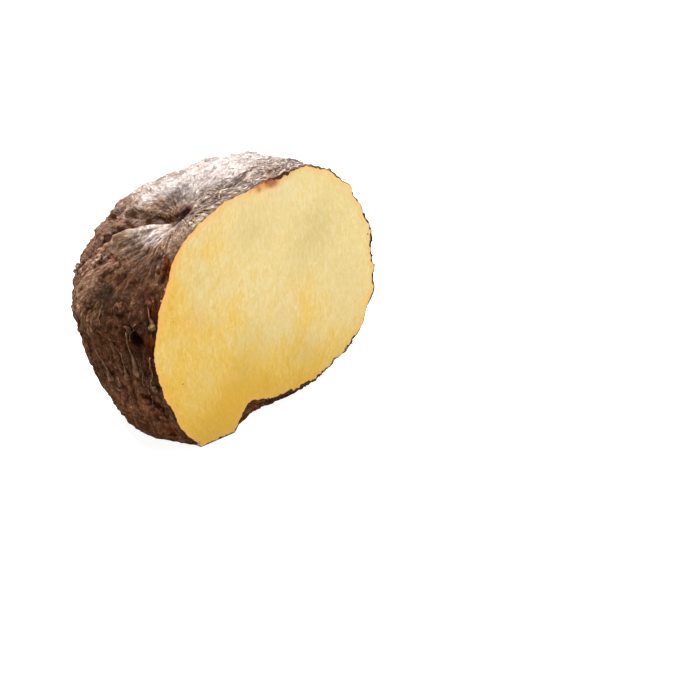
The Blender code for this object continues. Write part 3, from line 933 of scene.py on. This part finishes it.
SPECKS = (
    ((-12.4, 0, 89.6), 1.3), ((-12.0, 0, 87.6), 1.2), ((-19.1, 0, 87.2), 1.0), ((-7.9, 0, 46.8), 1.1),
    ((9.7, 0, 11.7), 1.1),
)
# The spot at the foot of the lobe is partly bark and partly painted shadow
THICK_BARK_AND_SHADOW_SPOTS = (
    ((42, 0, 9), 14, 2.4), ((19, 0, 1), 17, 1.5), ((70, 0, 155), 15, 2.6), ((86, 0, 17), 27, 2.2),
    ((118, 0, 32), 17, 1.8), ((140, 0, 98), 20, 3.2), ((142, 0, 62), 12, 2.2),
)

flesh = Shader("cut flesh")
where = flesh.position()
lanes = flesh.vector("even_fibres")
streaks = flesh.noise(flesh.stretched(lanes, (0.95, 0.26, 1.0)), 1.0, 4.0, 0.6, 0.4)
broad_streaks = flesh.noise(flesh.stretched(lanes, (0.26, 0.08, 1.0)), 1.0, 3.0, 0.5, 0.6)
clouds = flesh.noise(where, 26.0, 4.0)
flecks = flesh.noise(flesh.stretched(lanes, (0.46, 0.17, 1.0)), 1.0, 4.0, 0.62, 1.2)
grains = flesh.noise(where, 700.0, 2.0, 0.6)
spot = flesh.node("SeparateXYZ", {"Vector": where})
height = flesh.add(spot.outputs["Z"], flesh.times(spot.outputs["X"], 0.2))
from_left = flesh.spread(spot.outputs["X"], -0.062, -0.012, 0.32, 1.0)
creaminess = flesh.add(
    flesh.times(flesh.spread(height, 0.008, 0.088), from_left),
    flesh.spread(spot.outputs["Z"], 0.085, 0.135, 0.0, 0.25),
    flesh.sway(clouds, 0.38),
    flesh.sway(broad_streaks, 0.11),
    flesh.sway(streaks, 0.09),
    flesh.times(flesh.add(flecks, -0.5), 0.30),
)
colour = flesh.ramp(creaminess, (0.05, GOLDEN_FLESH), (0.42, YELLOW_FLESH), (0.95, CREAM_FLESH))
uneven = flesh.add(
    flesh.spread(clouds, 0.35, 0.65, -0.25, 0.25), flesh.spread(flecks, 0.3, 0.7, 0.3, 1.3)
)
for place, radius, share, tint in TINTED_SPOTS:
    colour = flesh.blend(flesh.times(flesh.near(place, radius, share), uneven), colour, tint)
pallor = flesh.times(
    flesh.add(flesh.spread(flecks, 0.42, 0.68), 0.25),
    flesh.spread(creaminess, 0.1, 0.9, 0.05, 0.7),
    flesh.spread(height, 0.030, 0.110, 0.25, 0.85),
)
colour = flesh.blend(pallor, colour, WHITE_FLESH)
shade = flesh.add(
    flesh.spread(streaks, 0.3, 0.7, 0.89, 0.97),
    flesh.sway(flecks, 0.04),
    flesh.sway(clouds, -0.04),
    flesh.sway(grains, -0.02),
)
colour = flesh.scaled(colour, shade)

# Under the bark the flesh turns orange, in a band that comes and goes and is widest at the upper left
rim = flesh.number("from_rim")
wavy_rim = flesh.add(rim, flesh.spread(clouds, 0.3, 0.7, -1.6, 2.0), flesh.sway(flecks, 0.7))
glow = flesh.changed_near(0.42, GLOWING_SPOTS)
colour = flesh.blend(flesh.times(flesh.spread(wavy_rim, 4.6, 0.6), glow), colour, ORANGE_RIM)

# A stain runs down from the skin at the top, and a few dark specks lie near the left edge
stained = flesh.near((62, 0, 151), 19, 1.6)
fade_in = flesh.add(rim, flesh.sway(streaks, 1.0), flesh.sway(grains, 1.0))
orange_share = flesh.times(stained, flesh.spread(fade_in, 7.0, 2.0, 0.0, 0.6))
ragged = flesh.shaken(where, 1300.0, 0.0018)
blot = flesh.changed_near(flesh.sway(grains, 0.12), STAIN_SPOTS, ragged)
for share, tint in (
    (orange_share, ORANGE_STAIN),
    (flesh.spread(blot, 0.10, 0.60, 0.0, 0.60), ORANGE_STAIN),
    (flesh.spread(blot, 0.45, 0.85, 0.0, 0.70), STAIN),
    (flesh.times(stained, flesh.spread(fade_in, 2.4, 0.8)), STAIN),
):
    colour = flesh.blend(share, colour, tint)
specks = flesh.add(*(
    flesh.spread(flesh.near(place, radius, 1.0, ragged), 0.0, 0.45) for place, radius in SPECKS
))
colour = flesh.blend(flesh.calculate("MINIMUM", specks, 1.0), colour, SPECK)

# The bark shows as a dark line round the flesh, thick at the notch and along the right side; at the foot of
# the lobe the line is widened partly as bark and partly as painted shadow where the lobe meets the ground
thickness = flesh.spread(flesh.noise(where, 190.0, 2.0, 0.6), 0.35, 0.65, -0.30, 0.45)
thickness = flesh.changed_near(thickness, (((0, 0, 125), 85, -0.6),))
corky = flesh.spread(flesh.noise(where, 200.0, 3.0, 0.6), 0.40, 0.62)
for place, radius, most in THICK_BARK_AND_SHADOW_SPOTS:
    thickness = flesh.add(thickness, flesh.times(flesh.near(place, radius, most), corky))
line = flesh.spread(flesh.calculate("SUBTRACT", rim, thickness), 0.55, 0.30)
flesh.put("Base Color", flesh.blend(line, colour, SKIN_AND_SHADOW_LINE))
flesh.put("Roughness", 0.5)
moist = flesh.spread(flesh.add(line, specks), 0.0, 1.0, 1.0, 0.0)
flesh.put("Specular IOR Level", flesh.times(moist, 0.25))
flesh.put("Subsurface Weight", flesh.times(moist, 0.12))
flesh.put("Subsurface Radius", (1.0, 0.6, 0.2))
flesh.put("Subsurface Scale", 0.003)
undulation = flesh.noise(flesh.stretched(lanes, (0.11, 0.05, 1.0)), 1.0, 2.0, 0.5, 0.8)
fine_bump = flesh.bump(flecks, 0.6, 0.45, flesh.bump(undulation, 2.5, 0.35))
flesh.put("Normal", flesh.bump(grains, 0.2, 0.5, fine_bump))

corm_piece.data.materials.append(bark.material)
corm_piece.data.materials.append(flesh.material)
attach(corm_piece, "root")
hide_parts("corm")

# The root scars: each a corky ring with a hollow middle, left where a root dried up and fell.
# They are grown on the skin, so each is a low ring sunk into it, a little out of round.
SCAR_SIDES = 12
SCAR_SUNK = 1.4
SCAR_HEIGHT = 0.55
SCAR_TILT = 0.2
SCAR_FOOT = 1.4
SCAR_TOP = 0.95
SCAR_STEPS = ((0.10, 0.40), (0.15, 0.10), (0.15, -0.9), (0.15, -1.4), (0.16, -0.6))
SMOOTH_ABOVE = 118.0
SCARS_FADE = (92.0, 122.0)
SCARS_LOWERED = 0.85
STUMP_PLACE = (-16, 91, 94)
STUMP_REACH = (-0.8, 0.3, 0.9)
STUMP_RADIUS = 1.9
STUMP_TALL = 1.5
STUMP_UNEVEN = (1.6, 0.8)
SCAR_UNEVEN = ((1.7, 0.40), (0.8, 0.15))


def add_scar(bm, place, normal, radius, height, draw):
    """A low cone whose top is inset into a rounded rim and then pressed in to a hollow floor"""
    depth = SCAR_SUNK + height * 0.55
    already = len(bm.verts)
    made = bmesh.ops.create_cone(
        bm, cap_ends=True, segments=SCAR_SIDES, depth=depth,
        radius1=radius * SCAR_FOOT, radius2=radius * SCAR_TOP,
    )
    faces = {face for vert in made["verts"] for face in vert.link_faces}
    top = max(faces, key=lambda face: face.calc_center_median().z)
    for thickness, step in SCAR_STEPS:
        bmesh.ops.inset_individual(bm, faces=[top], thickness=radius * thickness, depth=height * step)
    verts = list(bm.verts)[already:]
    out_of_round = Matrix.Diagonal((draw.uniform(0.85, 1.2), draw.uniform(0.8, 1.1), 1.0, 1.0))
    lean = Vector((draw.uniform(-1, 1), draw.uniform(-1, 1), draw.uniform(-1, 1))) * SCAR_TILT
    turn = (normal + lean).to_track_quat("Z", "Y").to_matrix().to_4x4()
    spin = Matrix.Rotation(draw.uniform(0.0, math.tau), 4, "Z")
    sink = Matrix.Translation((0.0, 0.0, depth / 2.0 - SCAR_SUNK))
    move = Matrix.Translation(place) @ turn @ spin @ out_of_round @ sink
    bmesh.ops.transform(bm, matrix=move, verts=verts)
    for vert in verts:
        for width, size in SCAR_UNEVEN:
            vert.co += noise.noise_vector(vert.co / width) * size


scar_mesh = bmesh.new()
stump = bmesh.ops.create_icosphere(scar_mesh, subdivisions=3, radius=STUMP_RADIUS)["verts"]
stump_foot = skin.find_nearest(Vector(STUMP_PLACE))[0] + Vector(STUMP_REACH)
for vert in stump:
    vert.co.z *= STUMP_TALL
    vert.co += stump_foot
    vert.co += noise.noise_vector(vert.co / STUMP_UNEVEN[0]) * STUMP_UNEVEN[1]
draw = random.Random(SEED + 3)
for (place, normal), radius in zip(scars, scar_radii):
    if place.z > SMOOTH_ABOVE:
        continue
    surface = skin.find_nearest(place)[0]
    lowered = 1.0 - SCARS_LOWERED * float(rise(place.z, *SCARS_FADE))
    add_scar(scar_mesh, surface, normal, radius, SCAR_HEIGHT * lowered * draw.uniform(0.6, 1.2), draw)


# Pieces on the skin are coloured lighter where they stand over it and darker where sunk into it, partly
# rubbing and partly painted shade
RUBBING_AND_SHADE_ON_SKIN = -0.6
RUBBING_AND_SHADE_PER_MM = 2.6


def skinned_piece(name, bm):
    """Finish a piece that wears the same bark as the corm, rubbed light where it stands over the skin and
    darkened where sunk, partly painted shade
    """
    standing = []
    for vert in bm.verts:
        surface, normal = skin.find_nearest(vert.co)[:2]
        standing.append((vert.co - surface).dot(normal))
    points = np.array([vert.co[:] for vert in bm.verts])
    piece = finished_piece(name, bm)
    keep(piece, "ridge", np.array(standing) * RUBBING_AND_SHADE_PER_MM + RUBBING_AND_SHADE_ON_SKIN)
    keep_fibres(piece, *fibre_places(points))
    piece.data.materials.append(bark.material)
    return piece


scar_piece = skinned_piece("root_scars", scar_mesh)
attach(scar_piece, "root")

# The dried roots: thin, shrivelled ends of the feeding roots, each with a knob where it sits in the skin.
# They lie down along the skin, so each is a tube drawn along it from its knob to its tip.
ROOT_COUNT = 34
ROOT_LENGTH = (9.0, 19.0)
ROOT_SLANT = 0.5
ROOT_SIDES = 9
ROOT_STEPS = 18
ROOT_KNOB = (1.3, 1.9)
ROOT_TAIL = (0.55, 0.8)
ROOT_TIP = 0.2
ROOT_SWAY = 0.22
ROOT_LIFT = 0.4
TOWARDS_KNOB = 1.4
ROOT_PATHS = (
    ((-26.5, 17.5, 50.5), (-32, 18, 70), (-32.5, 19, 80)),
    ((-29, 26.5, 46), (-30.5, 25, 57), (-34, 25, 67)),
    ((-24, 2.4, 83.5), (-24, 6, 93), (-22, 10, 99)),
    ((-23.5, 3.5, 47), (-24.5, 7.5, 48), (-26.5, 4, 60), (-27, 3.5, 68)),
    ((-31, 39, 41), (-33, 42, 52), (-36, 45, 61)),
    ((-29, 34, 38), (-32, 31, 48)),
)
ROOTS_BELOW = 105.0
ROOTS_BEHIND = 75.0
HAIR_COUNT = 42
HAIR_BELOW = 92.0
HAIR_LENGTH = (5.0, 14.0)
HAIR_RADIUS = 0.28
HAIR_SIDES = 4
HAIR_STEPS = 10
RIM_HAIR_SIDES = 7
CLEAR_OF_FACE = 1.0
RIM_HAIRS = (
    (((136.5, 1.5, 92), (138.8, 1.2, 96), (140.2, 1.2, 101.5)), 0.45, 0.25),
    (((121.5, 1.5, 31.5), (124, 1.2, 29), (126.3, 1.2, 27)), 0.8, 0.25),
    (((135.5, 1.5, 53), (138.3, 1.2, 51), (138.6, 1.2, 48.4)), 0.7, 0.3),
)


def add_tube(bm, centres, radii, sides):
    """A closed tube through the centres: a circle drawn along them, narrowing as the radii say"""
    ring = bmesh.ops.create_circle(bm, cap_ends=True, segments=sides, radius=1.0)["verts"]
    cap = ring[0].link_faces[0]
    unit = [vert.co.copy() for vert in ring]
    directions = [(after - before).normalized() for before, after in zip(centres[:-1], centres[1:])]
    directions.append(directions[-1])
    turn = directions[0].to_track_quat("Z", "Y").to_matrix()
    for vert, spot in zip(ring, unit):
        vert.co = centres[0] + turn @ (spot * radii[0])
    cap.normal_update()
    if cap.normal.dot(directions[0]) > 0.0:
        cap.normal_flip()
    edges = list(cap.edges)
    for centre, radius, direction in zip(centres[1:], radii[1:], directions[1:]):
        made = bmesh.ops.extrude_edge_only(bm, edges=edges)["geom"]
        new = {item for item in made if isinstance(item, bmesh.types.BMVert)}
        edges = [item for item in made if isinstance(item, bmesh.types.BMEdge) and new.issuperset(item.verts)]
        turn = (turn @ Vector((0.0, 0.0, 1.0))).rotation_difference(direction).to_matrix() @ turn
        partner = {edge.other_vert(vert): vert for vert in new for edge in vert.link_edges}
        ring = [partner[vert] for vert in ring]
        for vert, spot in zip(ring, unit):
            vert.co = centre + turn @ (spot * radius)
    bmesh.ops.contextual_create(bm, geom=edges)


def root_radii(knob, tail, steps):
    """Thick round the knob, waisted behind it, and fine towards the tip"""
    radii = []
    for number in range(steps):
        along = (number / (steps - 1)) ** TOWARDS_KNOB
        swell = hump(along - 0.09, 0.10) + 0.3 * hump(along - 0.28, 0.09) + 0.22 * hump(along - 0.92, 0.10)
        thin = ROOT_TIP + (tail - ROOT_TIP) * (1.0 - along)
        radii.append(thin + (knob * swell - 0.5 * thin * hump(along, 0.02)) * rise(along, 0.0, 0.06))
    return radii


def root_line(path, bend, steps, draw):
    """Points from the knob to the tip along a path, bent sideways a little and laid on the skin"""
    phase = draw.uniform(0.0, math.tau)
    points = []
    for number in range(steps):
        along = (number / (steps - 1)) ** TOWARDS_KNOB
        share = along * (len(path) - 1)
        leg = min(int(share), len(path) - 2)
        run = path[leg + 1] - path[leg]
        place = path[leg] + run * (share - leg)
        sideways = run.cross(skin.find_nearest(place)[1]).normalized()
        sway = bend * math.sin(math.pi * along) + ROOT_SWAY * math.sin(phase + 6.0 * along)
        surface, normal = skin.find_nearest(place + sideways * sway)[:2]
        points.append((surface, normal, along))
    return points


def upward_from(place, length, draw):
    """A short path that climbs the skin from a place on it, slanting a little"""
    across = Vector((place.y - WIDEST, CORE_X - place.x, 0.0)).normalized()
    climb = Vector((0.0, 0.0, 1.0)) + across * draw.uniform(-ROOT_SLANT, ROOT_SLANT)
    return [place, place + climb.normalized() * length]


root_mesh = bmesh.new()
draw = random.Random(SEED + 5)
roots = [([Vector(place) for place in path], 0.0) for path in ROOT_PATHS]
scar_spots = [
    place for place, _ in scars[len(PLACED_SCARS):]
    if place.z < ROOTS_BELOW and (place.y > ROOTS_BEHIND or place.x > CORE_X)
]
for place in draw.sample(scar_spots, ROOT_COUNT):
    roots.append((upward_from(place, draw.uniform(*ROOT_LENGTH), draw), draw.uniform(-2.0, 2.0)))
for path, bend in roots:
    radii = root_radii(draw.uniform(*ROOT_KNOB), draw.uniform(*ROOT_TAIL), ROOT_STEPS)
    centres = []
    for (surface, normal, along), radius in zip(root_line(path, bend, ROOT_STEPS, draw), radii):
        lifted = radius * 0.5 + ROOT_LIFT * math.sin(math.pi * along) * draw.uniform(0.5, 1.0)
        centres.append(surface + normal * lifted)
    if min(centre.y for centre in centres) > CLEAR_OF_FACE:
        add_tube(root_mesh, centres, radii, ROOT_SIDES)

# Finer hairs of root lie among them, and a few stand out from the right edge of the cut
for _ in range(HAIR_COUNT):
    direction = Vector((draw.gauss(-0.6, 1), draw.gauss(0.2, 0.8), draw.gauss(-0.2, 0.5))).normalized()
    place = skin.find_nearest(Vector(bare_corm(np.array([direction]))[0]))[0]
    if place.y < CLEAR_OF_CUT or not CLEAR_OF_BASE < place.z < HAIR_BELOW:
        continue
    path = upward_from(place, draw.uniform(*HAIR_LENGTH), draw)
    strand = root_line(path, draw.uniform(-2.5, 2.5), HAIR_STEPS, draw)
    centres = [surface + normal * HAIR_RADIUS for surface, normal, _ in strand]
    if min(centre.y for centre in centres) > CLEAR_OF_FACE:
        add_tube(root_mesh, centres, [HAIR_RADIUS] * HAIR_STEPS, HAIR_SIDES)
for path, thick, thin in RIM_HAIRS:
    path = [Vector(place) for place in path]
    centres = []
    for start, end in zip(path[:-1], path[1:]):
        centres += [start.lerp(end, share / 4) for share in range(4)]
    centres.append(path[-1])
    last = len(centres) - 1
    radii = [thick + (thin - thick) * step / last for step in range(last + 1)]
    add_tube(root_mesh, centres, radii, RIM_HAIR_SIDES)
bmesh.ops.recalc_face_normals(root_mesh, faces=root_mesh.faces)
root_piece = finished_piece("dried_roots", root_mesh)

ROOT_SHADE = (0.035, 0.016, 0.008, 1.0)
ROOT_TAN = (0.15, 0.075, 0.036, 1.0)
ROOT_LIGHT = (0.29, 0.165, 0.085, 1.0)
dry_root = Shader("dried root")
where = dry_root.position()
blotches = dry_root.noise(where, 330.0, 4.0, 0.6)
spotted = dry_root.add(blotches, dry_root.sway(dry_root.noise(where, 1200.0, 2.0, 0.6), 0.1))
dry_root.put("Base Color", dry_root.ramp(spotted, (0.30, ROOT_SHADE), (0.52, ROOT_TAN), (0.75, ROOT_LIGHT)))
dry_root.put("Roughness", 0.65)
dry_root.put("Specular IOR Level", 0.08)
dry_root.put("Normal", dry_root.bump(blotches, 0.4, 0.8))
root_piece.data.materials.append(dry_root.material)
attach(root_piece, "root")

# The rim stubs: crumbs and stubs of bark that stand out along the edge of the cut.
# The knife tore the brittle skin there, and each is a lump that still hangs on to it.
RIM_STUBS = (
    ((111, 154), 1.5), ((125.4, 129), 1.3), ((129.6, 124), 1.4), ((133, 117.5), 1.0), ((136.4, 114), 1.6),
    ((138.3, 95.6), 1.2), ((141, 83.4), 1.5), ((142, 75.6), 1.1), ((141.1, 68.9), 0.9), ((139.4, 61), 1.3),
    ((141.2, 57.8), 1.4), ((137, 50), 1.5), ((124.6, 28.4), 1.3), ((36, 14.5), 1.5), ((41, 12.5), 1.7),
    ((45, 13.5), 1.5), ((49, 10.5), 1.4), ((54, 10), 1.2), ((33, 10), 1.4), ((67.5, 10.5), 1.0),
    ((28.5, 7), 1.2),
)
STUB_SHARE = 0.85
STUB_LUMPS = (1.1, 0.45)
STUB_CRUMBS = (0.7, 0.35)
stub_mesh = bmesh.new()
draw = random.Random(SEED + 7)
for (x, z), size in RIM_STUBS:
    found = rim_tree.find((x, 0.0, z))[0]
    centre = Vector((found.x, draw.uniform(0.9, 2.0), found.z))
    made = bmesh.ops.create_icosphere(stub_mesh, subdivisions=3, radius=size * STUB_SHARE)["verts"]
    own_noise = Vector((x, z, 0.0))
    for vert in made:
        vert.co *= 1.0 + STUB_LUMPS[1] * noise.noise(vert.co / size * STUB_LUMPS[0] + own_noise)
        vert.co += noise.noise_vector(vert.co / STUB_CRUMBS[0] + own_noise) * STUB_CRUMBS[1]
    stretch = Matrix.Diagonal((draw.uniform(0.8, 1.2), draw.uniform(0.7, 1.0), draw.uniform(0.8, 1.3), 1.0))
    spin = Matrix.Rotation(draw.uniform(0.0, math.tau), 4, "Y")
    bmesh.ops.transform(stub_mesh, matrix=Matrix.Translation(centre) @ spin @ stretch, verts=made)
stub_piece = skinned_piece("rim_stubs", stub_mesh)
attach(stub_piece, "root")

# The torn flesh: bits of flesh that the knife pulled loose and that dried on the edge of the cut,
# two on the left, one at the foot of the lobe and one on the right.
DRIED_DARK = (0.34, 0.17, 0.07, 1.0)
DRIED_LIGHT = (0.62, 0.42, 0.22, 1.0)
TORN_BITS = (((-17.2, 107.6), 0.6), ((-17.4, 100.3), 0.75), ((-0.5, 1.6), 1.3), ((138.2, 48.6), 0.7))
TORN_UNEVEN = (0.9, 0.5)
TORN_FLATNESS = 0.6
torn_mesh = bmesh.new()
for (x, z), size in TORN_BITS:
    made = bmesh.ops.create_icosphere(torn_mesh, subdivisions=3, radius=size)["verts"]
    for vert in made:
        vert.co += noise.noise_vector(vert.co / TORN_UNEVEN[0] + Vector((x, z, 0.0))) * TORN_UNEVEN[1]
        vert.co.y *= TORN_FLATNESS
    found = rim_tree.find((x, 0.0, z))[0]
    bmesh.ops.translate(torn_mesh, verts=made, vec=(found.x, 0.5, max(found.z, 1.4 + size)))
torn_piece = finished_piece("torn_flesh", torn_mesh)
dried = Shader("torn flesh")
speckled = dried.noise(dried.position(), 700.0, 3.0, 0.6)
dried.put("Base Color", dried.ramp(speckled, (0.35, DRIED_DARK), (0.65, DRIED_LIGHT)))
dried.put("Roughness", 0.6)
torn_piece.data.materials.append(dried.material)
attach(torn_piece, "root")

# The setting: a plain pale floor under soft white studio light, and the camera of the photograph
FLOOR_SIZE = 60000.0
FLOOR_GAP = 0.2
FLOOR_GREY = (0.30, 0.30, 0.30, 1.0)
floor_mesh = bmesh.new()
bmesh.ops.create_grid(floor_mesh, x_segments=1, y_segments=1, size=FLOOR_SIZE)
bmesh.ops.translate(floor_mesh, verts=floor_mesh.verts, vec=(0.0, 0.0, -FLOOR_GAP))
floor = finished_piece("floor", floor_mesh)
paving = Shader("pale floor")
paving.put("Base Color", FLOOR_GREY)
paving.put("Roughness", 0.9)
paving.put("Emission Color", (1.0, 1.0, 1.0, 1.0))
paving.put("Emission Strength", 0.93)
floor.data.materials.append(paving.material)


def add_light(name, place, aim, width, power):
    lamp = bpy.data.lights.new(name, "AREA")
    lamp.shape = "DISK"
    lamp.size = width
    lamp.energy = power
    holder = bpy.data.objects.new(name, lamp)
    holder.location = place
    holder.rotation_euler = (Vector(aim) - Vector(place)).to_track_quat("-Z", "Y").to_euler()
    bpy.context.scene.collection.objects.link(holder)


corm_middle = (0.0, 0.0, 0.08)
add_light("top softbox", (-0.25, 0.50, 1.20), corm_middle, 0.3, 52.0)
add_light("back softbox", (0.40, 0.95, 0.65), corm_middle, 0.6, 8.0)
add_light("front softbox", (0.75, -1.1, 0.75), corm_middle, 0.8, 7.0)
world = bpy.data.worlds.new("studio white")
world.use_nodes = True
sky = world.node_tree.nodes["Background"].inputs
sky["Color"].default_value = (1.0, 1.0, 1.0, 1.0)
sky["Strength"].default_value = 0.18
bpy.context.scene.world = world
bpy.context.scene.view_settings.view_transform = "Standard"

CAMERA_TURN = math.radians(-43.0)
CAMERA_TILT = math.radians(26.0)
CAMERA_PLACE = Vector((-413.3, -575.0, 407.5))
LENS = 70.0
SENSOR_WIDTH = 36.0
back = Vector((
    math.sin(CAMERA_TURN) * math.cos(CAMERA_TILT),
    -math.cos(CAMERA_TURN) * math.cos(CAMERA_TILT),
    math.sin(CAMERA_TILT),
))
camera = bpy.data.objects.new("camera", bpy.data.cameras.new("camera"))
camera.data.lens = LENS
camera.data.sensor_width = SENSOR_WIDTH
camera.location = (CAMERA_PLACE - BOX_MIDDLE) * MM
camera.rotation_euler = back.to_track_quat("Z", "Y").to_euler()
bpy.context.scene.collection.objects.link(camera)
bpy.context.scene.camera = camera
